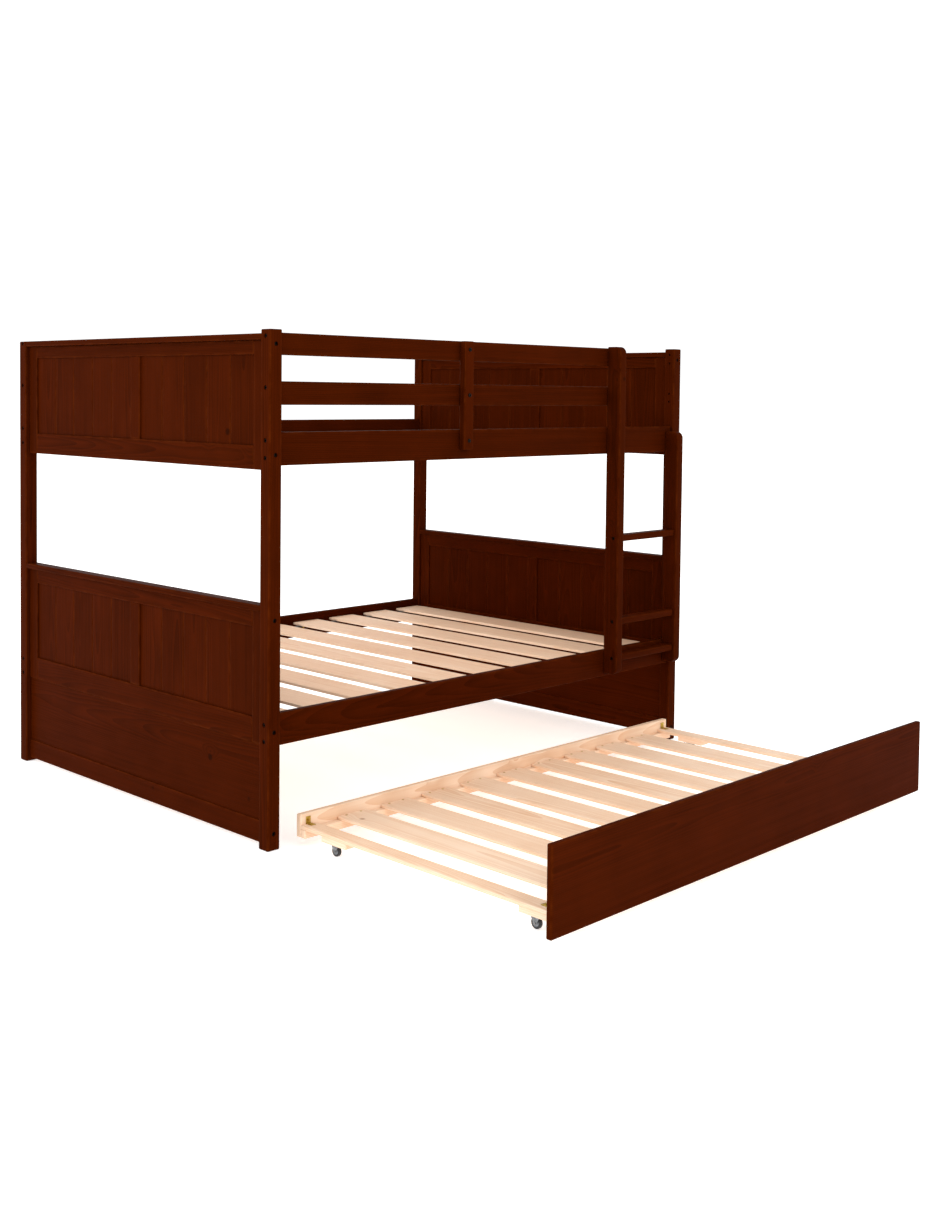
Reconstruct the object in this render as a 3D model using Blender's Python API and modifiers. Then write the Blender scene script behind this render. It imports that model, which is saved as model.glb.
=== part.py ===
"""Full-over-full bunk bed with a twin trundle, modelled in metres, +Z up.

The bed stands with its length along X and its back at +Y.  The trundle is
pulled out to the front, along -Y, and the origin is on the floor under the
middle of everything.
"""
import math

import bmesh
import bpy
from mathutils import Matrix, Vector

# Driving dimensions
BED_LENGTH = 2.020
BED_WIDTH = 1.472
POST = 0.045
FRONT_POST_HEIGHT = 1.542
END_TOP = 1.530
GAP = 0.0003
EDGE = 0.002

# Ends of the bed
CAP_THICK = 0.019
FRAME_THICK = 0.020
FRAME_INSET = 0.015
STILE = 0.053
CENTRE_STILE = 0.054
INFILL_THICK = 0.008
INFILL_TONGUE = 0.008
PLANKS_PER_HALF = 5
UPPER_END_BOTTOM = 1.127
UPPER_WINDOW = (1.199, 1.469)
LOWER_END_TOP = 0.727
LOWER_END_BOTTOM = 0.309
LOWER_WINDOW = (0.386, 0.658)
KICK_BOTTOM = 0.0135
KICK_FOOT_TOP = 0.080
KICK_THICK = 0.012

# Side rails, decks and guard
RAIL_THICK = 0.024
RAIL_INSET = 0.012
UPPER_RAIL = (1.141, 1.240)
LOWER_RAIL = (0.308, 0.405)
CLEAT = 0.024
CLEAT_END = 0.070
UPPER_DECK = 1.185
LOWER_DECK = 0.375
DECK_SLATS = 10
DECK_SLAT_WIDTH = 0.135
DECK_SLAT_THICK = 0.010
STRAP_WIDTH = 0.024
STRAP_THICK = 0.0025
STRAP_Y = 0.655
GUARD_TOP = (1.467, 1.533)
GUARD_MID = (1.320, 1.390)
GUARD_END = 0.602
GUARD_STILE_X = -0.193
GUARD_STILE = (0.044, 0.027)
GUARD_STILE_Z = (1.173, 1.533)

# Ladder
LEG_WIDTH = 0.036
LEG_DEPTH = 0.0617
LEG_BOTTOM = 0.320
LEFT_LEG_TOP = 1.538
RIGHT_LEG_TOP = 1.220
LEG_ROUND = 0.025
RUNG_THICK = 0.025
RUNG_DEPTH = 0.045
RUNG_HEIGHTS = (0.380, 0.517, 0.828)

# Trundle
PULL_OUT = 1.061
PANEL_LENGTH = 1.918
TRAY_LENGTH = 1.822
TRUNDLE_DEPTH = 1.050
PANEL_THICK = 0.018
PANEL_Z = (0.018, 0.258)
REAR_RAIL_THICK = 0.020
REAR_RAIL_Z = (0.029, 0.099)
SIDE_RAIL_WIDTH = 0.056
SIDE_RAIL_Z = (0.0553, 0.0673)
TRUNDLE_SLATS = 9
TRUNDLE_SLAT_WIDTH = 0.115
TRUNDLE_SLAT_THICK = 0.010
SLAT_FIELD = 1.536
LEDGER = (0.020, 0.026)
BLOCK_SIZE = (0.046, 0.108, 0.0175)
BLOCK_AHEAD = 0.010
CASTER_FROM_FRONT = 0.1115
CASTER_FROM_REAR = 0.1555
CASTER_INBOARD = 0.026
WHEEL_RADIUS = 0.016
WHEEL_WIDTH = 0.012
AXLE_RADIUS = 0.0022
CASTER_PLATE = (0.030, 0.046, 0.002)
FORK_THICK = 0.0015

# Bolt holes
BORE_RADIUS = 0.007
BORE_DEPTH = 0.007
END_BOLT_HEIGHTS = (1.522, 1.371, 1.216, 1.164, 0.375, 0.325)
SIDE_BOLT_HEIGHTS = (1.499, 1.173, 0.685, 0.353, 0.050)
SPARE_HOLE_HEIGHTS = (1.519, 1.486, 1.367, 1.336)
SPARE_RADIUS = 0.0045

BED_Y = PULL_OUT / 2
HALF_LENGTH = BED_LENGTH / 2
HALF_WIDTH = BED_WIDTH / 2
FRONT_Y = BED_Y - HALF_WIDTH
RAIL_FACE_Y = FRONT_Y + RAIL_INSET
TRUNDLE_FRONT = FRONT_Y - PULL_OUT
TRUNDLE_REAR = TRUNDLE_FRONT + TRUNDLE_DEPTH
LEFT_RIGHT = (("left", -1), ("right", 1))
FRONT_BACK = (("front", -1), ("back", 1))


def clear_scene():
    for obj in list(bpy.data.objects):
        bpy.data.objects.remove(obj, do_unlink=True)


def new_collection(name):
    collection = bpy.data.collections.new(name)
    bpy.context.scene.collection.children.link(collection)
    return collection


def finish_material(name, colour, roughness, metallic):
    material = bpy.data.materials.new(name)
    material.use_nodes = True
    shader = material.node_tree.nodes["Principled BSDF"]
    shader.inputs["Base Color"].default_value = (*colour, 1.0)
    shader.inputs["Roughness"].default_value = roughness
    shader.inputs["Metallic"].default_value = metallic
    return material


WALNUT = ((0.075, 0.016, 0.006), 0.35, 0.0)
PINE = ((0.86, 0.62, 0.40), 0.55, 0.0)
STEEL = ((0.45, 0.45, 0.46), 0.35, 1.0)
TREAD = ((0.05, 0.05, 0.055), 0.60, 0.0)


def make_object(name, mesh, finish, collection):
    obj = bpy.data.objects.new(name, mesh)
    collection.objects.link(obj)
    if finish is not None:
        mesh.materials.clear()
        mesh.materials.append(finish_material(name + "_finish", *finish))
    return obj


def box_mesh(name, size):
    mesh = bpy.data.meshes.new(name)
    body = bmesh.new()
    bmesh.ops.create_cube(body, size=1.0, matrix=Matrix.Diagonal((*size, 1.0)))
    body.to_mesh(mesh)
    body.free()
    return mesh


def board(name, low, high, finish, edge=EDGE):
    """A straight board between two corners, its edges eased by a chamfer."""
    size = Vector(high) - Vector(low)
    obj = make_object(name, box_mesh(name, size), finish, PARTS)
    obj.location = (Vector(high) + Vector(low)) / 2
    if edge > 0:
        bevel = obj.modifiers.new("eased_edges", "BEVEL")
        bevel.width = edge
        bevel.segments = 1
    return obj


def cutter_box(name, low, high):
    size = Vector(high) - Vector(low)
    obj = make_object(name, box_mesh(name, size), None, CUTTERS)
    obj.location = (Vector(high) + Vector(low)) / 2
    return hide(obj)


def cutter_bores(name, places, radius, depth, axis):
    """Blind holes: a cylinder along the axis, centred on each place."""
    mesh = bpy.data.meshes.new(name)
    body = bmesh.new()
    turn = Vector((0, 0, 1)).rotation_difference(axis).to_matrix().to_4x4()
    for place in places:
        bmesh.ops.create_cone(
            body, cap_ends=True, segments=12, radius1=radius, radius2=radius,
            depth=2 * depth, matrix=Matrix.Translation(place) @ turn)
    body.to_mesh(mesh)
    body.free()
    return hide(make_object(name, mesh, None, CUTTERS))


def hide(obj):
    obj.hide_render = True
    obj.display_type = "WIRE"
    return obj


def boolean(obj, other, operation):
    modifier = obj.modifiers.new(other.name, "BOOLEAN")
    modifier.operation = operation
    modifier.solver = "EXACT"
    modifier.object = other
    return obj


def applied_mesh(obj):
    """The object's shape with its modifiers applied, as a new mesh."""
    bpy.context.view_layer.update()
    graph = bpy.context.evaluated_depsgraph_get()
    return bpy.data.meshes.new_from_object(obj.evaluated_get(graph))


def boxes_mesh(name, boxes):
    """Several separate boxes, each given by its low and high corner."""
    mesh = bpy.data.meshes.new(name)
    body = bmesh.new()
    for low, high in boxes:
        low = Vector(low)
        high = Vector(high)
        place = Matrix.Translation((low + high) / 2)
        bmesh.ops.create_cube(body, size=1.0, matrix=place @ Matrix.Diagonal((*(high - low), 1.0)))
    body.to_mesh(mesh)
    body.free()
    return mesh


# --------------------------------------------------------------- bed posts
def post(name, side, depth_side, height):
    """A square post with counterbores for the end bolts and the side bolts."""
    x = side * (HALF_LENGTH - POST / 2)
    y = BED_Y + depth_side * (HALF_WIDTH - POST / 2)
    half = POST / 2
    obj = board(name, (x - half, y - half, 0), (x + half, y + half, height), WALNUT, 0.003)
    face_x = side * HALF_LENGTH
    face_y = BED_Y + depth_side * HALF_WIDTH
    ends = [(face_x, y, z) for z in END_BOLT_HEIGHTS]
    sides = [(x, face_y, z) for z in SIDE_BOLT_HEIGHTS]
    boolean(obj, cutter_bores(name + "_end_bores", ends, BORE_RADIUS, BORE_DEPTH,
                              Vector((1, 0, 0))), "DIFFERENCE")
    boolean(obj, cutter_bores(name + "_side_bores", sides, BORE_RADIUS, BORE_DEPTH,
                              Vector((0, 1, 0))), "DIFFERENCE")
    return obj


def spare_holes(obj):
    """Unused guard-rail holes on the inner face of the post beside the ladder."""
    x = HALF_LENGTH - POST
    y = FRONT_Y + POST / 2
    places = [(x, y, z) for z in SPARE_HOLE_HEIGHTS]
    bores = cutter_bores("spare_holes", places, SPARE_RADIUS, BORE_DEPTH, Vector((1, 0, 0)))
    boolean(obj, bores, "DIFFERENCE")


def posts():
    for side_name, side in LEFT_RIGHT:
        for depth_name, depth_side in FRONT_BACK:
            height = FRONT_POST_HEIGHT if depth_side < 0 else END_TOP
            obj = post(f"post_{depth_name}_{side_name}", side, depth_side, height)
            if side > 0 and depth_side < 0:
                spare_holes(obj)


# --------------------------------------------------------------- bed ends
def span_x(side, inset, thick):
    """Low and high X of a board set in from the outer face of one end."""
    outer = side * (HALF_LENGTH - inset)
    inner = outer - side * thick
    return min(outer, inner), max(outer, inner)


def between_posts():
    reach = HALF_WIDTH - POST - GAP
    return BED_Y - reach, BED_Y + reach


def cap_rail(name, side, top):
    low_x, high_x = span_x(side, 0.0, POST)
    low_y, high_y = between_posts()
    board(name, (low_x, low_y, top - CAP_THICK), (high_x, high_y, top), WALNUT, 0.003)


def end_frame(name, side, bottom, top, window):
    """Rails and stiles as one glued frame, grooved inside for the planks."""
    low_x, high_x = span_x(side, FRAME_INSET, FRAME_THICK)
    low_y, high_y = between_posts()
    obj = board(name, (low_x, low_y, bottom), (high_x, high_y, top), WALNUT, 0.0)
    opening = HALF_WIDTH - POST - STILE
    half_stile = CENTRE_STILE / 2
    for half_name, y0, y1 in (("a", -opening, -half_stile), ("b", half_stile, opening)):
        window_cut = cutter_box(f"{name}_window_{half_name}",
                                (low_x - 0.01, BED_Y + y0, window[0]),
                                (high_x + 0.01, BED_Y + y1, window[1]))
        boolean(obj, window_cut, "DIFFERENCE")
    middle = (low_x + high_x) / 2
    slot = INFILL_THICK / 2 + GAP
    reach = opening + INFILL_TONGUE + GAP
    groove = cutter_box(name + "_groove",
                        (middle - slot, BED_Y - reach, window[0] - INFILL_TONGUE - GAP),
                        (middle + slot, BED_Y + reach, window[1] + INFILL_TONGUE + GAP))
    return boolean(obj, groove, "DIFFERENCE")


def plank_infill(name, side, window):
    """Tongue-and-groove planks glued into one board, with a V at each joint."""
    low_x, high_x = span_x(side, FRAME_INSET, FRAME_THICK)
    middle = (low_x + high_x) / 2
    opening = HALF_WIDTH - POST - STILE
    reach = opening + INFILL_TONGUE
    half = INFILL_THICK / 2
    low_z = window[0] - INFILL_TONGUE
    high_z = window[1] + INFILL_TONGUE
    obj = board(name, (middle - half, BED_Y - reach, low_z),
                (middle + half, BED_Y + reach, high_z), WALNUT, 0.0)
    half_stile = CENTRE_STILE / 2
    plank = (opening - half_stile) / PLANKS_PER_HALF
    joints = [s * (half_stile + plank * i) for s in (-1, 1) for i in range(1, PLANKS_PER_HALF)]
    groove_width = 0.003
    depth = 0.0015
    cuts = []
    for y in joints:
        for face in (-1, 1):
            edge = middle + face * half
            cuts.append(((edge - depth, BED_Y + y - groove_width / 2, low_z - 0.01),
                         (edge + depth, BED_Y + y + groove_width / 2, high_z + 0.01)))
    grooves = hide(make_object(name + "_grooves", boxes_mesh(name + "_grooves", cuts), None, CUTTERS))
    return boolean(obj, grooves, "DIFFERENCE")


def kick_board(name, side):
    """A thin board under the lower panel, thickened into a rail at its foot."""
    low_y, high_y = between_posts()
    thin_inset = FRAME_INSET + (FRAME_THICK - KICK_THICK) / 2
    thin = span_x(side, thin_inset, KICK_THICK)
    thick = span_x(side, FRAME_INSET, FRAME_THICK)
    obj = board(name, (thin[0], low_y, KICK_BOTTOM), (thin[1], high_y, LOWER_END_BOTTOM - GAP),
                WALNUT, 0.0)
    foot = cutter_box(name + "_foot", (thick[0], low_y, KICK_BOTTOM),
                      (thick[1], high_y, KICK_FOOT_TOP))
    return boolean(obj, foot, "UNION")


def bed_ends():
    for side_name, side in LEFT_RIGHT:
        cap_rail(f"upper_cap_{side_name}", side, END_TOP)
        end_frame(f"upper_frame_{side_name}", side, UPPER_END_BOTTOM,
                  END_TOP - CAP_THICK - GAP, UPPER_WINDOW)
        plank_infill(f"upper_planks_{side_name}", side, UPPER_WINDOW)
        cap_rail(f"lower_cap_{side_name}", side, LOWER_END_TOP)
        end_frame(f"lower_frame_{side_name}", side, LOWER_END_BOTTOM,
                  LOWER_END_TOP - CAP_THICK - GAP, LOWER_WINDOW)
        plank_infill(f"lower_planks_{side_name}", side, LOWER_WINDOW)
        kick_board(f"kick_board_{side_name}", side)


# --------------------------------------------------------------- rails and decks
def side_rail(name, depth_side, heights, deck_top):
    """A side rail with the cleat that carries the slats glued along its inside."""
    outer = BED_Y + depth_side * (HALF_WIDTH - RAIL_INSET)
    inner = outer - depth_side * RAIL_THICK
    cleat_face = inner - depth_side * CLEAT
    reach = HALF_LENGTH - POST - GAP
    obj = board(name, (-reach, min(outer, inner), heights[0]),
                (reach, max(outer, inner), heights[1]), WALNUT)
    cleat_top = deck_top - DECK_SLAT_THICK - GAP
    cleat_reach = reach - CLEAT_END
    overlap = inner + depth_side * 0.004
    cleat = cutter_box(name + "_cleat",
                       (-cleat_reach, min(overlap, cleat_face), cleat_top - CLEAT),
                       (cleat_reach, max(overlap, cleat_face), cleat_top))
    return boolean(obj, cleat, "UNION")


def slat_deck(name, top):
    """Slats stapled to two webbing straps, so that they lay out as one roll."""
    reach_x = HALF_LENGTH - POST - 0.003
    reach_y = HALF_WIDTH - RAIL_INSET - RAIL_THICK - 0.001
    pitch = (2 * reach_x - DECK_SLAT_WIDTH) / (DECK_SLATS - 1)
    slats = []
    for i in range(DECK_SLATS):
        x = -reach_x + i * pitch
        slats.append(((x, BED_Y - reach_y, top - DECK_SLAT_THICK),
                      (x + DECK_SLAT_WIDTH, BED_Y + reach_y, top)))
    straps = []
    strap_top = top - DECK_SLAT_THICK + 0.001
    for y in (-STRAP_Y, STRAP_Y):
        straps.append(((-reach_x + 0.02, BED_Y + y - STRAP_WIDTH / 2,
                        strap_top - 0.001 - STRAP_THICK),
                       (reach_x - 0.02, BED_Y + y + STRAP_WIDTH / 2, strap_top)))
    obj = make_object(name, boxes_mesh(name, slats), PINE, PARTS)
    webbing = hide(make_object(name + "_straps", boxes_mesh(name + "_straps", straps), None, CUTTERS))
    return boolean(obj, webbing, "UNION")


def rails_and_decks():
    for depth_name, depth_side in FRONT_BACK:
        side_rail(f"upper_rail_{depth_name}", depth_side, UPPER_RAIL, UPPER_DECK)
        side_rail(f"lower_rail_{depth_name}", depth_side, LOWER_RAIL, LOWER_DECK)
    slat_deck("upper_slat_deck", UPPER_DECK)
    slat_deck("lower_slat_deck", LOWER_DECK)


def guard_rail():
    start = -HALF_LENGTH + POST + GAP
    for name, heights in (("guard_top_rail", GUARD_TOP), ("guard_middle_rail", GUARD_MID)):
        board(name, (start, RAIL_FACE_Y, heights[0]),
              (GUARD_END, RAIL_FACE_Y + RAIL_THICK, heights[1]), WALNUT, 0.003)
    half = GUARD_STILE[0] / 2
    board("guard_stile", (GUARD_STILE_X - half, RAIL_FACE_Y - GAP - GUARD_STILE[1], GUARD_STILE_Z[0]),
          (GUARD_STILE_X + half, RAIL_FACE_Y - GAP, GUARD_STILE_Z[1]), WALNUT, 0.003)


# --------------------------------------------------------------- ladder
def ladder_leg(name, x0, top):
    """A leg whose two front corners are rounded off."""
    back = RAIL_FACE_Y - GAP
    size = Vector((LEG_WIDTH, LEG_DEPTH, top - LEG_BOTTOM))
    mesh = bpy.data.meshes.new(name)
    body = bmesh.new()
    bmesh.ops.create_cube(body, size=1.0, matrix=Matrix.Diagonal((*size, 1.0)))
    front = [edge for edge in body.edges
             if all(v.co.y < 0 for v in edge.verts)
             and abs(edge.verts[0].co.x - edge.verts[1].co.x) > size.x / 2]
    bmesh.ops.bevel(body, geom=front, offset=LEG_ROUND, segments=5, profile=0.5, affect="EDGES")
    body.to_mesh(mesh)
    body.free()
    obj = make_object(name, mesh, WALNUT, PARTS)
    obj.location = (x0 + LEG_WIDTH / 2, back - LEG_DEPTH / 2, (top + LEG_BOTTOM) / 2)
    y = back - LEG_DEPTH / 2 - 0.008
    if x0 < 0.8:
        places = [(x0, y, z) for z in RUNG_HEIGHTS]
        bores = cutter_bores(name + "_bores", places, BORE_RADIUS, 0.005, Vector((1, 0, 0)))
        boolean(obj, bores, "DIFFERENCE")
    return obj


def ladder():
    left = GUARD_END - LEG_WIDTH
    right = HALF_LENGTH - POST - GAP - LEG_WIDTH
    ladder_leg("ladder_leg_left", left, LEFT_LEG_TOP)
    ladder_leg("ladder_leg_right", right, RIGHT_LEG_TOP)
    middle_y = RAIL_FACE_Y - GAP - LEG_DEPTH / 2
    for number, z in enumerate(RUNG_HEIGHTS, start=1):
        board(f"ladder_rung_{number}",
              (left + LEG_WIDTH + GAP, middle_y - RUNG_DEPTH / 2, z - RUNG_THICK / 2),
              (right - GAP, middle_y + RUNG_DEPTH / 2, z + RUNG_THICK / 2), WALNUT, 0.003)


# --------------------------------------------------------------- trundle
def trundle_frame():
    half = TRAY_LENGTH / 2
    panel_back = TRUNDLE_FRONT + PANEL_THICK
    rail_front = TRUNDLE_REAR - REAR_RAIL_THICK
    board("trundle_front_panel", (-PANEL_LENGTH / 2, TRUNDLE_FRONT, PANEL_Z[0]),
          (PANEL_LENGTH / 2, panel_back, PANEL_Z[1]), WALNUT)
    board("trundle_rear_rail", (-half, rail_front, REAR_RAIL_Z[0]),
          (half, TRUNDLE_REAR, REAR_RAIL_Z[1]), PINE)
    for side_name, side in LEFT_RIGHT:
        outer = side * half
        inner = outer - side * SIDE_RAIL_WIDTH
        board(f"trundle_side_rail_{side_name}",
              (min(outer, inner), panel_back + GAP, SIDE_RAIL_Z[0]),
              (max(outer, inner), rail_front - GAP, SIDE_RAIL_Z[1]), PINE)
    ledger_top = SIDE_RAIL_Z[0] - GAP
    for name, y0 in (("trundle_ledger_front", panel_back + GAP),
                     ("trundle_ledger_rear", rail_front - GAP - LEDGER[0])):
        board(name, (-half, y0, ledger_top - LEDGER[1]), (half, y0 + LEDGER[0], ledger_top), PINE)


def trundle_slats():
    pitch = (SLAT_FIELD - TRUNDLE_SLAT_WIDTH) / (TRUNDLE_SLATS - 1)
    y0 = TRUNDLE_FRONT + PANEL_THICK + 2 * GAP
    y1 = TRUNDLE_REAR - REAR_RAIL_THICK - 2 * GAP
    for i in range(TRUNDLE_SLATS):
        x = i * pitch - SLAT_FIELD / 2
        board(f"trundle_slat_{i + 1}", (x, y0, SIDE_RAIL_Z[0]),
              (x + TRUNDLE_SLAT_WIDTH, y1, SIDE_RAIL_Z[0] + TRUNDLE_SLAT_THICK), PINE, 0.0015)


def cheek_outline():
    """Side of the fork: straight across the plate, narrowing to a round eye."""
    top = BLOCK_BOTTOM - GAP - CASTER_PLATE[2] / 2
    half = CASTER_PLATE[1] / 2 - 0.007
    eye = 0.0055
    slope = math.atan2(half - eye, top - WHEEL_RADIUS)
    points = [(half, top), (-half, top)]
    steps = 8
    for i in range(steps + 1):
        angle = math.pi + slope + i * (math.pi - 2 * slope) / steps
        points.append((eye * math.cos(angle), WHEEL_RADIUS + eye * math.sin(angle)))
    return points


def cheek_mesh(name, points):
    """The outline as a filled flat curve, made a solid plate standing in YZ."""
    curve = bpy.data.curves.new(name, "CURVE")
    curve.dimensions = "2D"
    curve.fill_mode = "BOTH"
    curve.extrude = FORK_THICK / 2
    spline = curve.splines.new("POLY")
    spline.points.add(len(points) - 1)
    for point, (y, z) in zip(spline.points, points):
        point.co = (y, z, 0.0, 1.0)
    spline.use_cyclic_u = True
    guide = bpy.data.objects.new(name + "_guide", curve)
    CUTTERS.objects.link(guide)
    mesh = applied_mesh(guide)
    bpy.data.objects.remove(guide, do_unlink=True)
    body = bmesh.new()
    body.from_mesh(mesh)
    bmesh.ops.remove_doubles(body, verts=body.verts, dist=0.00001)
    stand = Matrix(((0, 0, 1, 0), (1, 0, 0, 0), (0, 1, 0, 0), (0, 0, 0, 1)))
    bmesh.ops.transform(body, matrix=stand, verts=body.verts)
    bmesh.ops.recalc_face_normals(body, faces=body.faces)
    body.to_mesh(mesh)
    body.free()
    return mesh


def fork_mesh():
    """Caster fork: plate, two cheeks and the axle pin, as one pressed piece."""
    plate_top = BLOCK_BOTTOM - GAP
    half_x = CASTER_PLATE[0] / 2
    half_y = CASTER_PLATE[1] / 2
    plate = boxes_mesh("fork_plate", [((-half_x, -half_y, plate_top - CASTER_PLATE[2]),
                                       (half_x, half_y, plate_top))])
    obj = hide(make_object("fork_plate", plate, None, CUTTERS))
    cheek_x = WHEEL_WIDTH / 2 + 0.0012 + FORK_THICK / 2
    for name, side in LEFT_RIGHT:
        cheek = make_object("fork_cheek_" + name, cheek_mesh("cheek_" + name, cheek_outline()),
                            None, CUTTERS)
        cheek.location = (side * cheek_x, 0, 0)
        boolean(obj, hide(cheek), "UNION")
    pin = bpy.data.meshes.new("axle_pin")
    body = bmesh.new()
    turn = Matrix.Rotation(math.pi / 2, 4, "Y")
    bmesh.ops.create_cone(body, cap_ends=True, segments=12, radius1=AXLE_RADIUS,
                          radius2=AXLE_RADIUS, depth=2 * cheek_x + FORK_THICK + 0.002,
                          matrix=Matrix.Translation((0, 0, WHEEL_RADIUS)) @ turn)
    body.to_mesh(pin)
    body.free()
    boolean(obj, hide(make_object("axle_pin", pin, None, CUTTERS)), "UNION")
    return applied_mesh(obj)


def wheel_mesh():
    """A small wheel turned about X, with crowned shoulders and an axle bore."""
    half = WHEEL_WIDTH / 2
    bore = AXLE_RADIUS + GAP
    shoulder = 0.002
    profile = [(-half, bore), (-half, WHEEL_RADIUS - shoulder), (-half + shoulder, WHEEL_RADIUS),
               (half - shoulder, WHEEL_RADIUS), (half, WHEEL_RADIUS - shoulder), (half, bore)]
    mesh = bpy.data.meshes.new("wheel")
    body = bmesh.new()
    rim = [body.verts.new((x, 0, -radius)) for x, radius in profile]
    for i in range(len(rim)):
        body.edges.new((rim[i], rim[(i + 1) % len(rim)]))
    bmesh.ops.spin(body, geom=body.verts[:] + body.edges[:], cent=(0, 0, 0), axis=(1, 0, 0),
                   angle=2 * math.pi, steps=24, use_merge=True)
    bmesh.ops.remove_doubles(body, verts=body.verts, dist=0.00001)
    bmesh.ops.recalc_face_normals(body, faces=body.faces)
    body.to_mesh(mesh)
    body.free()
    return mesh


def casters():
    fork = fork_mesh()
    wheel = wheel_mesh()
    half = TRAY_LENGTH / 2
    for depth_name, y in (("front", TRUNDLE_FRONT + CASTER_FROM_FRONT),
                          ("rear", TRUNDLE_REAR - CASTER_FROM_REAR)):
        for side_name, side in LEFT_RIGHT:
            x = side * (half - CASTER_INBOARD)
            place = f"{depth_name}_{side_name}"
            board(f"caster_block_{place}",
                  (x - BLOCK_SIZE[0] / 2, y - BLOCK_AHEAD - BLOCK_SIZE[1] / 2, BLOCK_BOTTOM),
                  (x + BLOCK_SIZE[0] / 2, y - BLOCK_AHEAD + BLOCK_SIZE[1] / 2,
                   SIDE_RAIL_Z[0] - GAP), PINE)
            fork_obj = make_object(f"caster_fork_{place}", fork.copy(), STEEL, PARTS)
            fork_obj.location = (x, y, 0)
            wheel_obj = make_object(f"caster_wheel_{place}", wheel.copy(), TREAD, PARTS)
            wheel_obj.location = (x, y, WHEEL_RADIUS)


BLOCK_BOTTOM = SIDE_RAIL_Z[0] - GAP - BLOCK_SIZE[2]

clear_scene()
PARTS = new_collection("trundle_bed")
CUTTERS = new_collection("cutters")
posts()
bed_ends()
rails_and_decks()
guard_rail()
ladder()
trundle_frame()
trundle_slats()
casters()
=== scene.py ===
# %% [markdown]
# # A bunk bed with a trundle, board by board
#
# The bed is joinery: square posts, frame-and-panel ends, rails bolted to the posts and loose
# slats. Its look comes from three things, and each gets a step below. Every board has softly
# rounded edges that catch the light. Every board is cut from its own place in a tree, so the
# grain runs along it and no two match. And the hardware is small but real: sunk bolts, screws,
# brackets and four little casters.
#
# The sizes are never typed in twice. The engineering model is loaded first, and each piece asks
# it where it goes.

# %% Load the frame that every piece is fitted to
import math

import bmesh
import bpy
import numpy as np
from mathutils import Matrix, Vector


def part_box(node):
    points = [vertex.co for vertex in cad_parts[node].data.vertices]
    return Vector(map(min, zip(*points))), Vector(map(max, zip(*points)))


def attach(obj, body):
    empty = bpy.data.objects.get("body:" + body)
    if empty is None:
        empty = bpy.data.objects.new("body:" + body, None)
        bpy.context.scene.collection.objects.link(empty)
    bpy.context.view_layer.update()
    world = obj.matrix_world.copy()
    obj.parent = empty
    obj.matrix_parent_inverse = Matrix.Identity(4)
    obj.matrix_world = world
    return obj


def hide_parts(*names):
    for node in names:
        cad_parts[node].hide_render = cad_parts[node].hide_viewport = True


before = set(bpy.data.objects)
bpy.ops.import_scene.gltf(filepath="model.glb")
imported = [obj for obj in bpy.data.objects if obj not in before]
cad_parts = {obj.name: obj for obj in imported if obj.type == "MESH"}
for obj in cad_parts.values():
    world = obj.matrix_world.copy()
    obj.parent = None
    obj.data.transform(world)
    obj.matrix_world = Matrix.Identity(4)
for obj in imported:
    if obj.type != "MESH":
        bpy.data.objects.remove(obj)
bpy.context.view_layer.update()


def corners_of(node):
    """The lowest and highest corner of a node, as two arrays."""
    low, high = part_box(node)
    return np.array(low), np.array(high)


# %% [markdown]
# ## The camera and the light
#
# A product picture of a bed is taken from chest height with a lens near normal. The lens is
# shifted down and the camera hardly tilted, which keeps the posts nearly upright. One large lamp on
# the left makes the bed's end brighter than its front, a weaker one opens up the front, and a
# white sky fills the rest, so that the shadows stay soft.

# %% Camera
camera_data = bpy.data.cameras.new("camera")
camera = bpy.data.objects.new("camera", camera_data)
bpy.context.scene.collection.objects.link(camera)
bpy.context.scene.camera = camera
camera_data.lens = 41.99
camera_data.shift_y = -0.1275
camera.location = (-3.562, -3.503, 1.360)
HEADING = math.radians(-45.79)
DIP = math.radians(-2.39)
ROLL = math.radians(0.63)
turn = Matrix.Rotation(HEADING, 4, "Z") @ Matrix.Rotation(math.pi / 2 + DIP, 4, "X")
camera.rotation_mode = "QUATERNION"
camera.rotation_quaternion = (turn @ Matrix.Rotation(ROLL, 4, "Z")).to_quaternion()

# %% Floor, sky and lamps
def linear(code):
    """An sRGB hex colour as linear red, green and blue with full alpha."""
    parts = np.array([int(code[i:i + 2], 16) for i in (1, 3, 5)]) / 255
    straight = np.where(parts <= 0.04045, parts / 12.92, ((parts + 0.055) / 1.055) ** 2.4)
    return (*straight.tolist(), 1.0)


def lamp(name, place, target, size, power):
    light = bpy.data.lights.new(name, "AREA")
    light.shape = "DISK"
    light.size = size
    light.energy = power
    holder = bpy.data.objects.new(name, light)
    bpy.context.scene.collection.objects.link(holder)
    holder.location = place
    aim = Vector(target) - Vector(place)
    holder.rotation_mode = "QUATERNION"
    holder.rotation_quaternion = aim.to_track_quat("-Z", "Y")


lamp("end_lamp", (-5.5, 1.6, 3.4), (-0.8, 0.4, 0.7), 3.0, 88)
lamp("front_lamp", (-1.5, -6.0, 3.6), (0.2, -0.2, 0.6), 3.5, 80)
world = bpy.data.worlds.new("white_sky")
world.use_nodes = True
world.node_tree.nodes["Background"].inputs["Color"].default_value = (1.0, 1.0, 1.0, 1.0)
world.node_tree.nodes["Background"].inputs["Strength"].default_value = 1.14
bpy.context.scene.world = world
bpy.context.scene.view_settings.view_transform = "Standard"

# %% [markdown]
# ## One helper for every material
#
# A shader is a small graph. Writing it by hand repeats three calls over and over: make a node,
# set its values, link its inputs. One helper does all three, so the materials below read as a
# list of what happens to the surface.

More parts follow.
